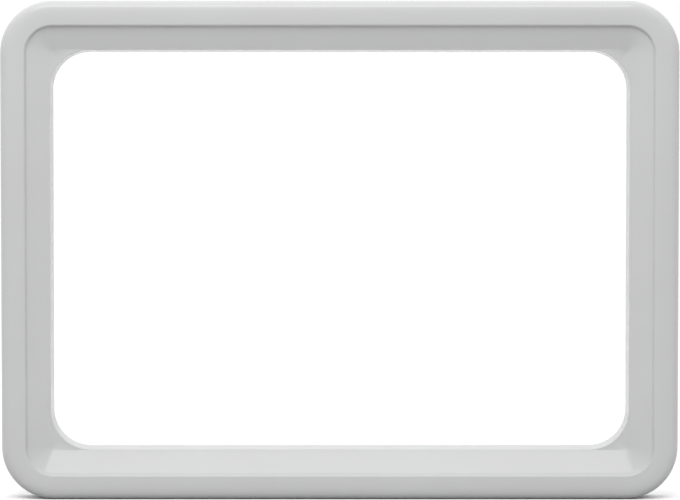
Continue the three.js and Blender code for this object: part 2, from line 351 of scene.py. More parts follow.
@dataclass(frozen=True)
class ClearPlastic:
    """Clear plastic sheet, cast flat, which shows only by its sheen.

    Attributes:
        name: Common name of the material.
        tint: Colour of the light that comes through.
        gloss: Roughness of the clean sheet.
        handled: Roughness where it was handled.
        ior: Index of refraction.
        smear_mm: Size of the handled patches.
        smear_edge: Value of the patches' noise where they begin.
        smear_middle: Value of the noise from which they are full.
    """

    name: str = "clear_acrylic_sheet"
    tint: str = "#FFFFFF"
    gloss: float = 0.01
    handled: float = 0.05
    ior: float = 1.49
    smear_mm: float = 60.0
    smear_edge: float = 0.45
    smear_middle: float = 0.75

    def material(self) -> Material:
        """Makes the material: clear, with a little haze in patches.

        Returns:
            The material.
        """
        material = blank_material(self.name)
        tree = material.node_tree
        place = add_node(tree, "ShaderNodeTexCoord").outputs["Object"]
        smears = add_node(
            tree,
            "ShaderNodeTexNoise",
            {"Scale": 1 / (self.smear_mm * MM), "Detail": 4.0, "Roughness": 0.6},
            {"Vector": place},
        )
        sheen = add_node(
            tree,
            "ShaderNodeMapRange",
            {
                "From Min": self.smear_edge,
                "From Max": self.smear_middle,
                "To Min": self.gloss,
                "To Max": self.handled,
            },
            {"Value": smears.outputs["Fac"]},
        )
        clear = add_node(
            tree,
            "ShaderNodeBsdfPrincipled",
            {"Base Color": linear(self.tint), "IOR": self.ior, "Transmission Weight": 1.0},
            {"Roughness": sheen.outputs["Result"]},
        )
        # Shadow rays pass straight through, so that the lamps light what lies behind the sheets.
        through = add_node(tree, "ShaderNodeBsdfTransparent", {"Color": linear(self.tint)})
        ray = add_node(tree, "ShaderNodeLightPath")
        shader = add_node(
            tree,
            "ShaderNodeMixShader",
            links={0: ray.outputs["Is Shadow Ray"], 1: clear.outputs["BSDF"], 2: through.outputs["BSDF"]},
        )
        add_node(tree, "ShaderNodeOutputMaterial", links={"Surface": shader.outputs["Shader"]})
        return material


@dataclass(frozen=True)
class PlatedSteel:
    """Mild steel with a bright zinc plating: a cool grey metal, cloudy and slightly streaked.

    Attributes:
        name: Common name of the material.
        bright: Colour of the fresh plating.
        clouded: Colour where the passivation is thicker.
        gloss: Least roughness.
        dull: Greatest roughness.
        cloud_mm: Size of the clouds.
        streak_mm: Spacing of the rolling streaks, drawn coarser than the real ones so that they show.
        streak_squeeze: Scale of the pattern along Z, which draws the streaks out.
        streak_height_mm: Height of the streaks at full strength.
        streak_strength: Strength of the streaks.
    """

    name: str = "zinc_plated_steel"
    bright: str = "#ABAFB3"
    clouded: str = "#96948A"
    gloss: float = 0.22
    dull: float = 0.42
    cloud_mm: float = 4.0
    streak_mm: float = 0.35
    streak_squeeze: float = 0.06
    streak_height_mm: float = 0.02
    streak_strength: float = 0.08

    def material(self) -> Material:
        """Makes the material from clouds of tint and streaks of roughness.

        Returns:
            The material.
        """
        material = blank_material(self.name)
        tree = material.node_tree
        place = add_node(tree, "ShaderNodeTexCoord").outputs["Object"]
        clouds = add_node(
            tree,
            "ShaderNodeTexNoise",
            {"Scale": 1 / (self.cloud_mm * MM), "Detail": 3.0, "Roughness": 0.6},
            {"Vector": place},
        )
        along = add_node(
            tree,
            "ShaderNodeMapping",
            {"Scale": (1.0, 1.0, self.streak_squeeze)},
            {"Vector": place},
        )
        streaks = add_node(
            tree,
            "ShaderNodeTexNoise",
            {"Scale": 1 / (self.streak_mm * MM), "Detail": 2.0},
            {"Vector": along.outputs["Vector"]},
        )
        plating = add_node(
            tree,
            "ShaderNodeMix",
            {"data_type": "RGBA", "A": linear(self.bright), "B": linear(self.clouded)},
            {"Factor": clouds.outputs["Fac"]},
        )
        sheen = add_node(
            tree,
            "ShaderNodeMapRange",
            {"From Min": NOISE_LOW, "From Max": NOISE_HIGH, "To Min": self.gloss, "To Max": self.dull},
            {"Value": streaks.outputs["Fac"]},
        )
        relief = add_node(
            tree,
            "ShaderNodeBump",
            {"Strength": self.streak_strength, "Distance": self.streak_height_mm * MM},
            {"Height": streaks.outputs["Fac"]},
        )
        shader = add_node(
            tree,
            "ShaderNodeBsdfPrincipled",
            {"Metallic": 1.0},
            {
                "Base Color": plating.outputs["Result"],
                "Roughness": sheen.outputs["Result"],
                "Normal": relief.outputs["Normal"],
            },
        )
        add_node(tree, "ShaderNodeOutputMaterial", links={"Surface": shader.outputs["BSDF"]})
        return material


def only(kind: type[Item], geometry: Iterable[object]) -> list[Item]:
    """Picks the items of one bmesh type out of an operator's result."""
    return [item for item in geometry if isinstance(item, kind)]


def run(bm: BMesh, points: Iterable[Vector]) -> list[BMEdge]:
    """Draws an open run of edges through points in metres and gives the edges, in order."""
    verts = [bm.verts.new(point) for point in points]
    return [bm.edges.new(pair) for pair in zip(verts, verts[1:])]


def soften(
    bm: BMesh,
    geometry: Iterable[BMVert | BMEdge],
    offset: float,
    segments: int = 2,
    rounded: Rounded = Rounded.EDGES,
) -> None:
    """Rounds the edges of a solid or the points of a section.

    Args:
        bm: Mesh that holds them.
        geometry: Edges or points to round.
        offset: Width of the rounding, in millimetres.
        segments: Number of faces across it.
        rounded: Which of the two is rounded.
    """
    bmesh.ops.bevel(
        bm,
        geom=list(geometry),
        offset=offset * MM,
        offset_type="OFFSET",
        affect=rounded.value,
        segments=segments,
        profile=0.5,
        material=-1,
    )


def thicken(bm: BMesh, way: Vector, rounding: float) -> None:
    """Draws a flat mesh out into a solid and rounds the edges where its faces fold.

    Args:
        bm: Flat mesh.
        way: How far the solid reaches from it, in millimetres.
        rounding: Width of the rounding, in millimetres.
    """
    far = bmesh.ops.extrude_face_region(bm, geom=bm.faces[:])
    bmesh.ops.translate(bm, verts=only(BMVert, far["geom"]), vec=way * MM)
    bmesh.ops.recalc_face_normals(bm, faces=bm.faces[:])
    sharp = [edge for edge in bm.edges if edge.calc_face_angle() > math.radians(EDGE_DEG)]
    soften(bm, sharp, rounding)


def fill_flat(bm: BMesh, edges: Iterable[BMEdge]) -> None:
    """Fills the space between closed runs of edges that lie in the plane of the frame."""
    bmesh.ops.triangle_fill(
        bm, use_beauty=True, use_dissolve=False, edges=list(edges), normal=(0.0, -1.0, 0.0)
    )


def join(bm: BMesh, other: BMesh) -> None:
    """Adds another mesh to a mesh.

    Args:
        bm: Mesh that takes the other.
        other: Mesh to add. It is freed.
    """
    carrier = bpy.data.meshes.new("carrier")
    other.to_mesh(carrier)
    other.free()
    bm.from_mesh(carrier)
    bpy.data.meshes.remove(carrier)


def mesh_object(bm: BMesh, name: str) -> Object:
    """Turns a mesh into an object of the scene.

    Args:
        bm: Mesh. It is freed.
        name: Name of the object and of its data.

    Returns:
        The object.
    """
    mesh = bpy.data.meshes.new(name)
    bm.to_mesh(mesh)
    bm.free()
    obj = bpy.data.objects.new(name, mesh)
    bpy.context.scene.collection.objects.link(obj)
    return obj


def united(bm: BMesh, other: BMesh) -> BMesh:
    """Makes one closed skin of shells that overlap, without the faces that lie inside.

    Args:
        bm: Closed shell. It is freed.
        other: Closed shells that run into it and into each other. They are freed.

    Returns:
        The mesh of the skin.
    """
    for shell in (bm, other):
        bmesh.ops.recalc_face_normals(shell, faces=shell.faces[:])
    carriers = [mesh_object(shell, "carrier") for shell in (bm, other)]
    union = carriers[0].modifiers.new("union", "BOOLEAN")
    union.operation = "UNION"
    union.solver = "EXACT"
    # The other shells also run into each other.
    union.use_self = True
    union.object = carriers[1]
    skin = bmesh.new()
    skin.from_object(carriers[0], bpy.context.evaluated_depsgraph_get())
    for carrier in carriers:
        bpy.data.meshes.remove(carrier.data)
    return skin


@dataclass(frozen=True)
class Arc:
    """Arc of a flat outline in the plane of the frame, in millimetres and degrees from +X towards +Z."""

    x: float
    z: float
    radius: float
    start: float
    turn: float

    def draw(self, bm: BMesh, steps: int) -> list[BMVert]:
        """Spins a vertex round the centre.

        Args:
            bm: Mesh that takes the arc.
            steps: Number of edges.

        Returns:
            The vertices from the start to the end.
        """
        angle = math.radians(self.start)
        centre = Vector((self.x, 0.0, self.z)) * MM
        arm = Vector((math.cos(angle), 0.0, math.sin(angle))) * self.radius * MM
        verts = [bm.verts.new(centre + arm)]
        for _ in range(steps):
            spun = bmesh.ops.spin(
                bm,
                geom=[verts[-1]],
                cent=centre,
                axis=(0.0, -1.0, 0.0),
                angle=math.radians(self.turn / steps),
                steps=1,
            )
            verts.extend(only(BMVert, spun["geom_last"]))
        return verts


def closed_outline(bm: BMesh, arcs: Sequence[Arc], steps: int = 16) -> list[BMEdge]:
    """Draws arcs one after the other and joins their ends.

    Args:
        bm: Mesh that takes the outline.
        arcs: Arcs in order round the outline. A full circle stands alone.
        steps: Number of edges in each arc.

    Returns:
        The edges of the closed outline.
    """
    runs = [arc.draw(bm, steps) for arc in arcs]
    if len(runs) == 1:
        seam = {runs[0][-1]: runs[0][0]}
        bmesh.ops.weld_verts(bm, targetmap=seam)
        runs[0].pop()
    else:
        for verts, following in zip(runs, runs[1:] + runs[:1]):
            bm.edges.new((verts[-1], following[0]))
    drawn = {vert for verts in runs for vert in verts}
    return [edge for edge in bm.edges if drawn.issuperset(edge.verts)]


def stamped_plate(outlines: Iterable[Sequence[Arc]], thickness: float, rounding: float) -> BMesh:
    """Makes a flat plate with holes, its front at depth 0 and its middle on the axis.

    Args:
        outlines: The outer outline and then the holes.
        thickness: Thickness, in millimetres.
        rounding: Rounding of the edges, in millimetres.

    Returns:
        The plate's mesh.
    """
    bm = bmesh.new()
    edges = [edge for outline in outlines for edge in closed_outline(bm, outline)]
    fill_flat(bm, edges)
    thicken(bm, Vector((0.0, thickness, 0.0)), rounding)
    return bm


def turned(profile: Iterable[tuple[float, float]]) -> BMesh:
    """Spins a profile into a round body about the Y axis.

    Args:
        profile: Radius and depth of its points, in millimetres.

    Returns:
        The body's mesh.
    """
    bm = bmesh.new()
    edges = run(bm, (Vector((radius, depth, 0.0)) * MM for radius, depth in profile))
    bmesh.ops.spin(
        bm,
        geom=[*bm.verts, *edges],
        cent=(0.0, 0.0, 0.0),
        axis=(0.0, 1.0, 0.0),
        angle=math.tau,
        steps=ROUND_STEPS,
        use_merge=True,
    )
    return bm


def place_mesh(bm: BMesh, spot: Vector, degrees: float = 0.0) -> None:
    """Turns a mesh about the Y axis and moves it to its place.

    Args:
        bm: Mesh to place.
        spot: Where its origin goes, in metres.
        degrees: Turn from +X towards +Z.
    """
    turn = Matrix.Rotation(-math.radians(degrees), 3, "Y")
    bmesh.ops.rotate(bm, verts=bm.verts[:], cent=(0.0, 0.0, 0.0), matrix=turn)
    bmesh.ops.translate(bm, verts=bm.verts[:], vec=spot)


def piece(bm: BMesh, node: str, body: str, material: Material) -> Object:
    """Turns a finished mesh into the piece that stands for a CAD node.

    Args:
        bm: Finished mesh, in place. It is freed.
        node: CAD node that the piece stands for.
        body: CAD body that carries it.
        material: Finish of the piece.

    Returns:
        The piece.
    """
    bmesh.ops.remove_doubles(bm, verts=bm.verts[:], dist=MERGE_MM * MM)
    bmesh.ops.recalc_face_normals(bm, faces=bm.faces[:])
    for face in bm.faces:
        face.smooth = True
    obj = mesh_object(bm, f"{node}_dressed")
    obj.data.set_sharp_from_angle(angle=math.radians(SHARP_DEG))
    obj.data.materials.append(material)
    normals = obj.modifiers.new("flat_faces_stay_flat", "WEIGHTED_NORMAL")
    normals.keep_sharp = True
    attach(obj, body)
    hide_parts(node)
    return obj


@dataclass
class Assembly(ABC):
    """A sub-assembly of the frame, with the outline that all of them share and its pieces' finish."""

    outline: Outline
    material: Material

    @abstractmethod
    def build(self) -> list[Object]:
        """Builds the pieces and gives them in order."""


class SectionPoint(NamedTuple):
    """Point of a section through a rail, in millimetres.

    Attributes:
        inset: How far in from the outer edge it lies.
        depth: How far behind the crest it lies.
        rounding: How far from it a rounding starts, where 0 leaves it sharp.
    """

    inset: float
    depth: float
    rounding: float = 0.0


@dataclass
class Rim(Assembly):
    """The moulded rim, from its domed band to the wall round the window, and its hollow, ribbed back.

    Sizes are in millimetres. An inset runs in from the outer edge and a depth back from the crest. These
    fields need a word more than their names:

    Attributes:
        edge_drop: Depth at which the band meets the upright outer edge.
        edge_fullness: How long the band's curve keeps close to that edge, from 0 to 1.
        crown_flatness: How long it keeps level at the crest, from 0 to 1.
        floor_depth: Depth of the flat between the slope and the window.
        window_draft: How much further out the window's front edge lies than its back.
        edge_back_run: Width of the slant behind the band's outer edge.
        hollow_lead: How far from the window's wall the hollow behind the slope ends.
        rear_rounding: Rounding of the outer edge at the rear and of the window's wall at its back.
        rebate_cuts: Insets at which the rebate gets more points, so that it follows the rounded corners.
        top_rounding: Rounding of the tops of the rebate and of the posts.
        long_rib_steps: Places of the ribs on the long rails, in pitches from the middle.
        short_rib_steps: Places of the ribs on the short rails, in pitches from the middle.
        rounding_gap: Gap that keeps a rounding from the next point of its section.
    """

    band_width: float = 11.8
    band_crest: float = 6.4
    band_dip: float = 0.35
    edge_drop: float = 5.2
    edge_fullness: float = 0.77
    crown_flatness: float = 0.75
    step_run: float = 0.9
    step_drop: float = 2.4
    step_top_radius: float = 1.2
    step_foot_radius: float = 1.5
    slope_foot: float = 23.6
    floor_depth: float = 6.83
    window_inset: float = 25.3
    window_draft: float = 1.4
    window_corner: float = 18.0
    window_rounding: float = 0.25
    seat_depth: float = 15.2
    wall: float = 2.0
    edge_back_run: float = 2.4
    hollow_lead: float = 0.4
    hollow_rounding: float = 0.6
    rear_rounding: float = 0.4
    rear_inner_rounding: float = 0.3
    rebate_inset: float = 16.0
    rebate_wall: float = 1.6
    rebate_corner: float = 1.0
    rebate_cuts: tuple[float, ...] = (18.0, 20.0, 22.0, 25.5)
    top_rounding: float = 0.2
    rib: float = 1.4
    rib_rounding: float = 0.15
    rib_pitch: float = 32.0
    long_rib_steps: tuple[int, ...] = (-4, -2, -1, 1, 2, 4)
    short_rib_steps: tuple[int, ...] = (-2, -1, 1)
    post_radius: float = 3.4
    bore_end: float = 11.2
    rounding_gap: float = 0.01
    rounding_steps: int = 6
    crown_points: int = 8
    edge_points: int = 18
    corner_steps: int = 24

    @property
    def step_foot(self) -> float:
        """Inset of the foot of the step."""
        return self.band_width + self.step_run

    @property
    def fall(self) -> float:
        """Fall of the slope for each millimetre towards the window."""
        return (self.floor_depth - self.step_drop) / (self.slope_foot - self.step_foot)

    @property
    def window_edge(self) -> float:
        """Inset of the window's front edge."""
        return self.window_inset - self.window_draft

    @property
    def window_centre(self) -> float:
        """Inset of the centres of the window's corners."""
        return self.window_inset + self.window_corner

    def slope_depth(self, inset: float) -> float:
        """Gives the depth of the slope at an inset."""
        return self.floor_depth - (self.slope_foot - inset) * self.fall

    def under_slope(self, inset: float, share: float = 1.0) -> float:
        """Gives the depth at a share of the way through the slope's wall."""
        return self.slope_depth(inset) + share * self.wall * math.hypot(1.0, self.fall)

    def draw_section(
        self, bm: BMesh, corner: float, points: Sequence[SectionPoint], closed: bool = False
    ) -> list[BMVert | BMEdge]:
        """Draws a section of the rim at the upper end of the right rail.

        Args:
            bm: Empty mesh that takes the section.
            corner: Inset of the centres of the corners.
            points: Points of the section, in order.
            closed: Whether the last point joins the first.

        Returns:
            The section's vertices and edges.
        """
        x = self.outline.width / 2
        z = self.outline.height / 2 - corner
        run(bm, (self.outline.spot(x - point.inset, point.depth, z) for point in points))
        verts = bm.verts[:]
        if closed:
            bm.edges.new((verts[-1], verts[0]))
        for vert, point in zip(verts, points):
            if point.rounding:
                soften(bm, [vert], point.rounding, self.rounding_steps, Rounded.POINTS)
        return [*bm.verts, *bm.edges]

    def carry_round(self, bm: BMesh, section: list[BMVert | BMEdge], corner: float) -> None:
        """Carries a section round the frame: a quarter turn at each corner and straight along each rail.

        Args:
            bm: Mesh that holds the section.
            section: Vertices and edges of the section, at the upper end of the right rail.
            corner: Inset of the centres of the corners.
        """
        x = self.outline.width / 2 - corner
        z = self.outline.height / 2 - corner
        centres = [(side * x, end * z) for side, end in QUARTERS]
        for (from_x, from_z), (to_x, to_z) in zip(centres, centres[1:] + centres[:1]):
            spun = bmesh.ops.spin(
                bm,
                geom=section,
                cent=self.outline.spot(from_x, 0.0, from_z),
                axis=(0.0, -1.0, 0.0),
                angle=math.pi / 2,
                steps=self.corner_steps,
            )
            edges = only(BMEdge, spun["geom_last"])
            drawn = bmesh.ops.extrude_edge_only(bm, edges=edges)["geom"]
            ends = set(only(BMVert, drawn))
            way = Vector((to_x - from_x, 0.0, to_z - from_z)) * MM
            bmesh.ops.translate(bm, verts=list(ends), vec=way)
            section = [*ends, *(edge for edge in only(BMEdge, drawn) if ends.issuperset(edge.verts))]
        bmesh.ops.remove_doubles(bm, verts=bm.verts[:], dist=MERGE_MM * MM)

    def face_section(self) -> list[SectionPoint]:
        """Works out the section from the slope's foot out over the face and back behind it to the window.

        Returns:
            The points of the section, in that order.
        """
        step_angle = math.atan2(self.step_drop - self.band_dip, self.step_run)
        band_angle = math.atan2(2 * self.band_dip, self.band_width - self.band_crest)
        top_tangent = self.step_top_radius * math.tan((step_angle - band_angle) / 2)
        foot_tangent = self.step_foot_radius * math.tan((step_angle - math.atan(self.fall)) / 2)
        crest = Vector((self.band_crest, 0.0, 0.0))
        rounding = Vector((math.cos(band_angle), math.sin(band_angle), 0.0)) * top_tangent
        end = Vector((self.band_width, self.band_dip, 0.0)) - rounding
        # The curve from the step to the crest is a parabola with this control point.
        pull = Vector(((end.x + crest.x) / 2, 0.0, 0.0))
        crown = interpolate_bezier(
            end, end.lerp(pull, 2 / 3), crest.lerp(pull, 2 / 3), crest, self.crown_points
        )
        edge = interpolate_bezier(
            crest,
            crest * (1 - self.crown_flatness),
            Vector((0.0, self.edge_drop * (1 - self.edge_fullness), 0.0)),
            Vector((0.0, self.edge_drop, 0.0)),
            self.edge_points,
        )
        rear = self.outline.depth
        hollow_end = self.window_edge - self.wall - self.hollow_lead
        soft = self.hollow_rounding
        return [
            SectionPoint(self.slope_foot, self.floor_depth),
            SectionPoint(self.step_foot, self.step_drop, foot_tangent),
            SectionPoint(self.band_width, self.band_dip, top_tangent - self.rounding_gap),
            *(SectionPoint(point.x, point.y) for point in [*crown, *edge[1:]]),
            SectionPoint(0.0, rear, self.rear_rounding),
            SectionPoint(self.wall, rear, self.rear_inner_rounding),
            SectionPoint(self.wall, self.edge_drop, soft),
            SectionPoint(self.wall + self.edge_back_run, self.wall, soft),
            SectionPoint(self.band_width - self.wall, self.wall, soft),
            SectionPoint(self.step_foot, self.under_slope(self.step_foot), soft),
            SectionPoint(hollow_end, self.under_slope(hollow_end)),
        ]

    def window_section(self) -> list[SectionPoint]:
        """Works out the section of the wall round the window.

        Returns:
            The points from the flat at the slope's foot over the wall to its back.
        """
        flat_end = self.window_edge - self.window_rounding - 2 * self.rounding_gap
        return [
            SectionPoint(flat_end, self.floor_depth),
            SectionPoint(self.window_edge, self.floor_depth, self.window_rounding),
            SectionPoint(self.window_inset, self.seat_depth, self.rear_rounding),
            SectionPoint(self.window_inset - self.wall, self.seat_depth),
            SectionPoint(self.window_edge - self.wall, self.floor_depth + self.wall),
        ]

    def shell(self) -> BMesh:
        """Makes the rim's wall from both sections, joined by the flat at the slope's foot and behind it.

        Returns:
            The closed mesh of the wall.
        """
        bm = bmesh.new()
        corner = self.outline.corner
        self.carry_round(bm, self.draw_section(bm, corner, self.face_section()), corner)
        window = bmesh.new()
        corner = self.window_centre
        self.carry_round(window, self.draw_section(window, corner, self.window_section()), corner)
        join(bm, window)
        # Both sections end open at the flat, so its front and then its back are filled between them.
        floor = self.outline.spot(0.0, self.floor_depth + self.wall / 4, 0.0).y
        rims = {edge for edge in bm.edges if edge.is_boundary}
        in_front = {edge for edge in rims if edge.verts[0].co.y < floor}
        for edges in (in_front, rims - in_front):
            fill_flat(bm, edges)
        return bm

    def middle_of_wall(self) -> list[SectionPoint]:
        """Works out the line along which ribs, rebate and posts end inside the rim's wall.

        Returns:
            The points of the line, from the outer edge to the window's wall.
        """
        back = self.window_edge - self.wall
        return [
            SectionPoint(self.wall / 2, self.edge_drop),
            SectionPoint(self.wall + self.edge_back_run / 2, self.wall),
            SectionPoint(self.band_width - self.wall, self.wall / 2),
            SectionPoint(self.step_foot, self.under_slope(self.step_foot, 0.5)),
            SectionPoint(back, self.under_slope(back, 0.5)),
        ]

    def rib_at(self, spot: Vector, degrees: float, reach: float) -> BMesh:
        """Makes one cross rib.

        Args:
            spot: Point on the outer edge of the frame, in metres, at depth 0.
            degrees: Way in from there, from +X towards +Z.
            reach: How far in the rib goes, to the middle of the window's wall.

        Returns:
            The rib's mesh, in place.
        """
        bm = bmesh.new()
        line = self.middle_of_wall()
        points = [
            *line,
            SectionPoint(reach - self.window_draft, self.floor_depth + self.wall / 2),
            SectionPoint(reach, self.seat_depth),
            SectionPoint(line[0].inset, self.seat_depth),
        ]
        bm.faces.new(
            [bm.verts.new(Vector((point.inset, point.depth, -self.rib / 2)) * MM) for point in points]
        )
        thicken(bm, Vector((0.0, 0.0, self.rib)), self.rib_rounding)
        place_mesh(bm, spot, degrees)
        return bm

    def ribs(self) -> list[BMesh]:
        """Makes the cross ribs between the posts and a web across each corner.

        Returns:
            The meshes, in place.
        """
        x = self.outline.width / 2
        z = self.outline.height / 2
        reach = self.window_inset - self.wall / 2
        made = []
        for step in self.long_rib_steps:
            for end, way in ((1, Way.DOWN), (-1, Way.UP)):
                spot = self.outline.spot(step * self.rib_pitch, 0.0, end * z)
                made.append(self.rib_at(spot, way.value, reach))
        for step in self.short_rib_steps:
            for side, way in ((1, Way.LEFT), (-1, Way.RIGHT)):
                spot = self.outline.spot(side * x, 0.0, step * self.rib_pitch)
                made.append(self.rib_at(spot, way.value, reach))
        corner = self.outline.corner
        away = corner * (1 - math.sqrt(0.5))
        web = corner + (self.window_centre - corner) * math.sqrt(2) - self.window_corner - self.wall / 2
        first_way = (Way.LEFT.value + Way.DOWN.value) / 2
        for quarter, (side, end) in enumerate(QUARTERS):
            spot = self.outline.spot(side * (x - away), 0.0, end * (z - away))
            made.append(self.rib_at(spot, first_way + 90.0 * quarter, web))
        return made

    def inset_of(self, x: float, z: float) -> float:
        """Measures how far in from the rounded outer edge a point lies, in millimetres.

        Args:
            x: Place of the point to the right of the middle.
            z: Place of the point above the middle.

        Returns:
            The inset.
        """
        from_x = self.outline.width / 2 - abs(x)
        from_z = self.outline.height / 2 - abs(z)
        corner = self.outline.corner
        if max(from_x, from_z) < corner:
            return corner - math.hypot(corner - from_x, corner - from_z)
        return min(from_x, from_z)

    def rebate(self) -> BMesh:
        """Makes the wall round the sheets' edges. Its front edge follows the middle of the rim's wall.

        Returns:
            The closed mesh of the wall.
        """
        bm = bmesh.new()
        outer = self.rebate_inset - self.rebate_wall
        corner = self.rebate_inset + self.rebate_corner
        top = self.outline.post_top
        front = self.under_slope(self.rebate_inset, 0.5)
        section = [
            SectionPoint(self.rebate_inset, front),
            SectionPoint(self.rebate_inset, top, self.top_rounding),
            SectionPoint(outer, top, self.top_rounding),
            SectionPoint(outer, front),
        ]
        self.carry_round(bm, self.draw_section(bm, corner, section, closed=True), corner)
        for inset in self.rebate_cuts:
            for cut, normal in (
                (self.outline.spot(self.outline.width / 2 - inset, 0.0, 0.0), Vector((1.0, 0.0, 0.0))),
                (self.outline.spot(0.0, 0.0, self.outline.height / 2 - inset), Vector((0.0, 0.0, 1.0))),
            ):
                for side in (1.0, -1.0):
                    everything = [*bm.verts, *bm.edges, *bm.faces]
                    place = Vector((cut.x * side, cut.y, cut.z * side))
                    bmesh.ops.bisect_plane(bm, geom=everything, plane_co=place, plane_no=normal)
        # The front edge goes to the middle of the rim's wall, whose depth changes with the inset.
        line = self.middle_of_wall()
        behind = self.outline.spot(0.0, self.seat_depth, 0.0).y
        for vert in [vert for vert in bm.verts if vert.co.y < behind]:
            inset = self.inset_of(vert.co.x / MM, vert.co.z / MM)
            before, after = next(pair for pair in zip(line, line[1:]) if inset <= pair[1].inset)
            share = (inset - before.inset) / (after.inset - before.inset)
            depth = before.depth + share * (after.depth - before.depth)
            vert.co.y = self.outline.spot(0.0, depth, 0.0).y
        return bm

    def post_at(self, post: Post) -> BMesh:
        """Makes a screw post with its bore, from the middle of the rim's wall to its flat top.

        Args:
            post: Where it stands.

        Returns:
            The post's mesh, in place.
        """
        top = self.outline.post_top
        bore = self.outline.screw_hole
        bm = turned(
            [
                (0.0, self.wall / 2),
                (self.post_radius, self.wall / 2),
                (self.post_radius, top - self.top_rounding),
                (self.post_radius - self.top_rounding, top),
                (bore, top),
                (bore, self.bore_end),
                (0.0, self.bore_end),
            ]
        )
        place_mesh(bm, self.outline.spot(post.x, 0.0, post.z))
        return bm

    def build(self) -> list[Object]:
        """Builds the rim as one piece.

        Returns:
            The rim alone.
        """
        inside = self.rebate()
        for rib in self.ribs():
            join(inside, rib)
        for post in [*self.outline.button_posts, *self.outline.plate_posts]:
            join(inside, self.post_at(post))
        bm = united(self.shell(), inside)
        return [piece(bm, "front_frame", "frame", self.material)]


@dataclass
class ClearSheets(Assembly):
    """The two clear sheets that the poster goes between. Sizes are in millimetres."""

    width: float = 297.0
    height: float = 210.0
    thickness: float = 1.0
    corner: float = 2.0
    rounding: float = 0.1
    front_depth: float = 15.4
    back_depth: float = 16.8

    def build(self) -> list[Object]:
        """Builds the sheets.

        Returns:
            The front sheet and the back sheet.
        """
        x = self.width / 2 - self.corner
        z = self.height / 2 - self.corner
        corners = [
            Arc(side * x, end * z, self.corner, 90.0 * quarter, 90.0)
            for quarter, (side, end) in enumerate(QUARTERS)
        ]
        made = []
        for node, depth in {"front_sheet": self.front_depth, "back_sheet": self.back_depth}.items():
            bm = stamped_plate([corners], self.thickness, self.rounding)
            place_mesh(bm, self.outline.spot(0.0, depth, 0.0))
            made.append(piece(bm, node, "frame", self.material))
        return made


@dataclass
class TurnButtons(Assembly):
    """The moulded buttons that swivel over the back sheet. Sizes are in millimetres."""

    radius: float = 5.0
    tip_radius: float = 3.8
    tip_reach: float = 10.0
    rounding: float = 0.3
    ridge_width: float = 1.2
    ridge_height: float = 0.8
    ridge_length: float = 6.0
    ridge_rounding: float = 0.35
    ridge_steps: int = 4

    def ridge(self) -> BMesh:
        """Makes the grip ridge across the tip, sunk halfway into the button.

        Returns:
            The ridge's mesh, in place on a button that points along +X.
        """
        bm = bmesh.new()
        sunk = self.outline.button_thickness / 2
        size = Vector((self.ridge_width, self.ridge_height + sunk, self.ridge_length))
        middle = Vector((self.tip_reach, sunk + size.y / 2, 0.0)) * MM
        made = bmesh.ops.create_cube(bm, size=1.0)
        bmesh.ops.scale(bm, verts=made["verts"], vec=size * MM)
        soften(bm, bm.edges, self.ridge_rounding, self.ridge_steps)
        bmesh.ops.translate(bm, verts=bm.verts[:], vec=middle)
        return bm

    def build(self) -> list[Object]:
        """Builds the buttons, each on its own body.

        Returns:
            The buttons, in the order of their posts.
        """
        lean = math.degrees(math.asin((self.radius - self.tip_radius) / self.tip_reach))
        outer = [
            Arc(0.0, 0.0, self.radius, 90.0 - lean, 180.0 + 2 * lean),
            Arc(self.tip_reach, 0.0, self.tip_radius, lean - 90.0, 180.0 - 2 * lean),
        ]
        hole = [Arc(0.0, 0.0, self.outline.screw_hole, 0.0, 360.0)]
        depth = self.outline.post_top + self.outline.play
        made = []
        for post in self.outline.button_posts:
            plate = stamped_plate([outer, hole], self.outline.button_thickness, self.rounding)
            bm = united(plate, self.ridge())
            place_mesh(bm, self.outline.spot(post.x, depth, post.z), post.inwards.value)
            node = f"turn_button_{post.name}"
            made.append(piece(bm, node, node, self.material))
        return made


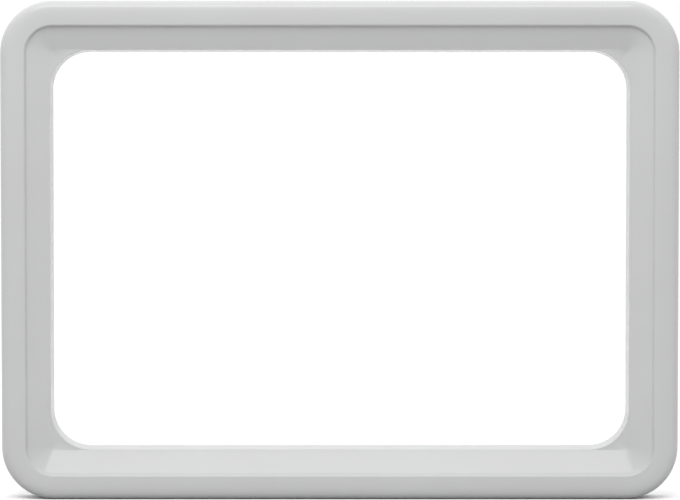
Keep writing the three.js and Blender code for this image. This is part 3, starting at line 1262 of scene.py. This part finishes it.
@dataclass
class PanScrews(Assembly):
    """Pan-head screws with a cross recess. Sizes are in millimetres.

    The dome of the head is a curve that leaves the flat on top level and meets the head's side upright.
    dome_reach and dome_drop say how strongly, and recess_taper how small the recess is at its bottom.
    """

    radius: float = 1.4
    length: float = 8.0
    tip: float = 2.0
    tip_radius: float = 0.4
    head_radius: float = 2.9
    head_height: float = 1.3
    flat_radius: float = 1.9
    dome_reach: float = 0.55
    dome_drop: float = 0.25
    chamfer_width: float = 0.15
    chamfer_height: float = 0.25
    dome_points: int = 9
    recess_arm: float = 1.45
    recess_width: float = 0.75
    recess_depth: float = 0.9
    recess_taper: float = 0.55
    first_turn_deg: float = 17.0
    next_turn_deg: float = 53.0

    def body(self) -> BMesh:
        """Makes a screw with the underside of its head at depth 0 and its head to the rear.

        Returns:
            The screw's mesh.
        """
        dome = interpolate_bezier(
            Vector((self.flat_radius, self.head_height, 0.0)),
            Vector((self.flat_radius + self.dome_reach, self.head_height, 0.0)),
            Vector((self.head_radius, self.head_height - self.dome_drop, 0.0)),
            Vector((self.head_radius, self.chamfer_height, 0.0)),
            self.dome_points,
        )
        bm = turned(
            [
                *((point.x, point.y) for point in dome),
                (self.head_radius - self.chamfer_width, 0.0),
                (self.radius, 0.0),
                (self.radius, self.tip - self.length),
                (self.tip_radius, -self.length),
                (0.0, -self.length),
            ]
        )
        bmesh.ops.remove_doubles(bm, verts=bm.verts[:], dist=MERGE_MM * MM)
        rim = [edge for edge in bm.edges if edge.is_boundary]
        arm = self.recess_arm
        half = self.recess_width / 2
        corners = [
            Matrix.Rotation(math.radians(-90.0 * turn), 2) @ Vector(point)
            for turn in range(4)
            for point in ((arm, half), (half, half), (half, arm))
        ]
        verts = [bm.verts.new(Vector((corner.x, self.head_height, corner.y)) * MM) for corner in corners]
        cross = [bm.edges.new(pair) for pair in zip(verts, verts[1:] + verts[:1])]
        fill_flat(bm, [*rim, *cross])
        walls = bmesh.ops.extrude_edge_only(bm, edges=cross)["geom"]
        floor = only(BMVert, walls)
        bmesh.ops.scale(bm, verts=floor, vec=(self.recess_taper, 1.0, self.recess_taper))
        bmesh.ops.translate(bm, verts=floor, vec=(0.0, -self.recess_depth * MM, 0.0))
        bmesh.ops.edgeloop_fill(bm, edges=[edge for edge in bm.edges if edge.is_boundary])
        return bm

    def build(self) -> list[Object]:
        """Builds the screws of the buttons and of the plates, each with its recess turned its own way.

        Returns:
            The screws, in the order of their posts.
        """
        rest = self.outline.post_top + 2 * self.outline.play
        sets = [
            ("button_screw_", self.outline.button_posts, rest + self.outline.button_thickness),
            ("hanger_screw_", self.outline.plate_posts, rest + self.outline.plate_thickness),
        ]
        made = []
        for prefix, posts, depth in sets:
            for count, post in enumerate(posts):
                bm = self.body()
                turn_deg = self.first_turn_deg + self.next_turn_deg * count
                place_mesh(bm, self.outline.spot(post.x, depth, post.z), turn_deg)
                made.append(piece(bm, prefix + post.name, "frame", self.material))
        return made


@dataclass
class HangerPlates(Assembly):
    """Stamped steel plates with a keyhole, whose slot rises from its entry. Sizes are in millimetres."""

    width: float = 10.6
    rounding: float = 0.15
    entry_radius: float = 4.0
    slot_radius: float = 2.2
    rise: float = 8.5

    def build(self) -> list[Object]:
        """Builds the plates.

        Returns:
            The left plate and the right plate.
        """
        half = self.width / 2
        reach = self.outline.plate_reach
        hole = self.outline.screw_hole
        neck = math.degrees(math.asin(self.slot_radius / self.entry_radius))
        outlines = [
            [Arc(0.0, reach, half, 0.0, 180.0), Arc(0.0, -reach, half, 180.0, 180.0)],
            [Arc(0.0, reach, hole, 0.0, 360.0)],
            [Arc(0.0, -reach, hole, 0.0, 360.0)],
            [
                Arc(0.0, -self.rise / 2, self.entry_radius, 90.0 + neck, 360.0 - 2 * neck),
                Arc(0.0, self.rise / 2, self.slot_radius, 0.0, 180.0),
            ],
        ]
        depth = self.outline.post_top + self.outline.play
        made = []
        for plate in self.outline.plate_middles:
            bm = stamped_plate(outlines, self.outline.plate_thickness, self.rounding)
            place_mesh(bm, self.outline.spot(plate.x, depth, plate.z))
            made.append(piece(bm, f"hanger_plate_{plate.name}", "frame", self.material))
        return made


def aimed_from(turn_deg: float, rise_deg: float, distance: float) -> Matrix:
    """Works out the placement of a lamp or a camera that faces the middle of the frame.

    Args:
        turn_deg: How far to the left of the front it stands.
        rise_deg: How far above the frame it stands.
        distance: How far away it stands, in metres.

    Returns:
        The world matrix.
    """
    turn = math.radians(turn_deg)
    rise = math.radians(rise_deg)
    way = Vector((-math.sin(turn) * math.cos(rise), -math.cos(turn) * math.cos(rise), math.sin(rise)))
    place = way * distance
    return Matrix.Translation(place) @ (-place).to_track_quat("-Z", "Y").to_matrix().to_4x4()


@dataclass(frozen=True)
class SoftBox:
    """Lamp behind a white cloth, which faces the middle of the frame.

    Attributes:
        name: What the lamp is for.
        turn_deg: How far to the left of the frame it hangs.
        rise_deg: How far above the frame it hangs.
        distance: How far away it hangs, in metres.
        width: Width of the cloth, in metres.
        height: Height of the cloth, in metres.
        watts: Power of the lamp.
        mirrored: Whether glossy surfaces show it.
    """

    name: str
    turn_deg: float
    rise_deg: float
    distance: float
    width: float
    height: float
    watts: float
    mirrored: bool = True

    def hang(self) -> Object:
        """Hangs the lamp in its place.

        Returns:
            The lamp.
        """
        lamp = bpy.data.lights.new(self.name, "AREA")
        lamp.shape = "RECTANGLE"
        lamp.size = self.width
        lamp.size_y = self.height
        lamp.energy = self.watts
        obj = bpy.data.objects.new(self.name, lamp)
        obj.matrix_world = aimed_from(self.turn_deg, self.rise_deg, self.distance)
        obj.visible_glossy = self.mirrored
        bpy.context.scene.collection.objects.link(obj)
        return obj


@dataclass
class Studio:
    """White ground, soft light from above and a long lens square on to the frame. Lengths are in metres.

    The floor has one colour for the eye and a darker one for the light that it throws back. The sky's
    light falls off from the zenith to the horizon, and a glow with a soft edge comes from low down behind
    the frame. The lens is shifted by a small part of the picture's width.
    """

    outline: Outline
    floor_size: float = 12.0
    ground: str = "#FFFFFF"
    ground_bounce: str = "#9E9E9E"
    sky_zenith: float = 1.05
    sky_horizon: float = 0.6
    ground_glow: float = 2.1
    glow_edge: float = 0.3
    camera_distance: float = 2.7
    camera_turn_deg: float = 0.0
    camera_rise_deg: float = 4.2
    camera_end: float = 50.0
    view_width: float = 0.3318
    sensor_mm: float = 36.0
    shift_x: float = 0.0002
    shift_y: float = -0.0006
    key: SoftBox = SoftBox(
        "key_box", turn_deg=9.0, rise_deg=45.8, distance=1.8, width=1.05, height=0.775, watts=4.4
    )
    fill: SoftBox = SoftBox(
        "fill_box",
        turn_deg=12.0,
        rise_deg=46.0,
        distance=0.66,
        width=0.8,
        height=0.22,
        watts=1.4,
        mirrored=False,
    )

    def build_floor(self) -> Object:
        """Lays the pale floor that the frame stands on.

        Returns:
            The floor.
        """
        bm = bmesh.new()
        bmesh.ops.create_grid(bm, x_segments=1, y_segments=1, size=self.floor_size / 2)
        level = -self.outline.height / 2 * MM
        bmesh.ops.translate(bm, verts=bm.verts[:], vec=(0.0, 0.0, level))
        floor = mesh_object(bm, "floor")
        floor.data.materials.append(self.floor_material())
        return floor

    def floor_material(self) -> Material:
        """Makes the matt white card of the floor, which throws less light back than it shows.

        Returns:
            The material.
        """
        material = blank_material("matt_white_card")
        tree = material.node_tree
        ray = add_node(tree, "ShaderNodeLightPath")
        seen = add_node(
            tree,
            "ShaderNodeMath",
            {"operation": "SUBTRACT", 0: 1.0},
            {1: ray.outputs["Is Diffuse Ray"]},
        )
        card = add_node(
            tree,
            "ShaderNodeMix",
            {"data_type": "RGBA", "A": linear(self.ground_bounce), "B": linear(self.ground)},
            {"Factor": seen.outputs["Value"]},
        )
        shader = add_node(tree, "ShaderNodeBsdfDiffuse", links={"Color": card.outputs["Result"]})
        add_node(tree, "ShaderNodeOutputMaterial", links={"Surface": shader.outputs["BSDF"]})
        return material

    def build_sky(self) -> World:
        """Sets a white ground for the eye, and light that falls off from the zenith and glows low behind.

        Returns:
            The world.
        """
        world = bpy.data.worlds.new("studio")
        world.use_nodes = True
        tree = world.node_tree
        tree.nodes.clear()
        way = add_node(tree, "ShaderNodeTexCoord")
        parts = add_node(tree, "ShaderNodeSeparateXYZ", links={0: way.outputs["Generated"]})
        level = add_node(
            tree,
            "ShaderNodeMapRange",
            {"To Min": self.sky_horizon, "To Max": self.sky_zenith},
            {"Value": parts.outputs["Z"]},
        )
        back = add_node(
            tree,
            "ShaderNodeMath",
            {"operation": "SUBTRACT"},
            {0: parts.outputs["Y"], 1: parts.outputs["Z"]},
        )
        behind = add_node(
            tree,
            "ShaderNodeMapRange",
            {"From Min": 0.0, "From Max": self.glow_edge},
            {"Value": back.outputs["Value"]},
        )
        strength = add_node(
            tree,
            "ShaderNodeMix",
            {"data_type": "FLOAT", "B": self.ground_glow},
            {"Factor": behind.outputs["Result"], "A": level.outputs["Result"]},
        )
        light = add_node(
            tree,
            "ShaderNodeBackground",
            {"Color": linear(self.ground)},
            {"Strength": strength.outputs["Result"]},
        )
        white = add_node(tree, "ShaderNodeBackground", {"Color": linear(self.ground), "Strength": 1.0})
        # The camera sees the white ground straight on, through the sheets and mirrored in the plastic.
        ray = add_node(tree, "ShaderNodeLightPath")
        seen = ray.outputs["Is Camera Ray"]
        for kind in ("Is Transmission Ray", "Is Glossy Ray"):
            links = {0: seen, 1: ray.outputs[kind]}
            seen = add_node(tree, "ShaderNodeMath", {"operation": "MAXIMUM"}, links).outputs["Value"]
        both = add_node(
            tree,
            "ShaderNodeMixShader",
            links={0: seen, 1: light.outputs["Background"], 2: white.outputs["Background"]},
        )
        add_node(tree, "ShaderNodeOutputWorld", links={"Surface": both.outputs["Shader"]})
        bpy.context.scene.world = world
        return world

    def build_camera(self) -> Object:
        """Sets the camera square on to the frame, a little above its middle.

        Returns:
            The camera.
        """
        lens = bpy.data.cameras.new("camera")
        lens.sensor_width = self.sensor_mm
        lens.lens = self.sensor_mm * self.camera_distance / self.view_width
        lens.clip_end = self.camera_end
        lens.shift_x = self.shift_x
        lens.shift_y = self.shift_y
        obj = bpy.data.objects.new("camera", lens)
        obj.matrix_world = aimed_from(self.camera_turn_deg, self.camera_rise_deg, self.camera_distance)
        bpy.context.scene.collection.objects.link(obj)
        bpy.context.scene.camera = obj
        return obj

    def build(self) -> None:
        """Builds the floor, the light and the camera."""
        self.build_floor()
        self.build_sky()
        self.key.hang()
        self.fill.hang()
        self.build_camera()
        bpy.context.scene.view_settings.view_transform = "Standard"


def main() -> None:
    """Builds the pieces in order, reports each, and sets up the studio round them."""
    logging.basicConfig(level=logging.INFO, format="%(message)s")
    outline = Outline()
    # High-impact polystyrene from a polished mould: an even white grey with a soft gloss.
    rim_plastic = MouldedPlastic(
        "moulded_polystyrene", colour="#CFD0D0", cloud="#CACBCA", gloss=0.05, dull=0.09, ior=1.59
    ).material()
    # Acetal, moulded small and tough: whiter and duller than the rim.
    button_plastic = MouldedPlastic(
        "moulded_acetal", colour="#D8D8D3", cloud="#D2D2CC", gloss=0.34, dull=0.46, ior=1.48
    ).material()
    # Acrylic sheet: colourless, it shows by its reflections.
    clear_plastic = ClearPlastic().material()
    # Zinc-plated mild steel: cool, cloudy grey with a soft shine.
    steel = PlatedSteel().material()
    for assembly in (
        Rim(outline, rim_plastic),
        ClearSheets(outline, clear_plastic),
        TurnButtons(outline, button_plastic),
        PanScrews(outline, steel),
        HangerPlates(outline, steel),
    ):
        for obj in assembly.build():
            log.info("%s: %d faces of %s", obj.name, len(obj.data.polygons), obj.active_material.name)
    Studio(outline).build()


if __name__ == "__main__":
    main()
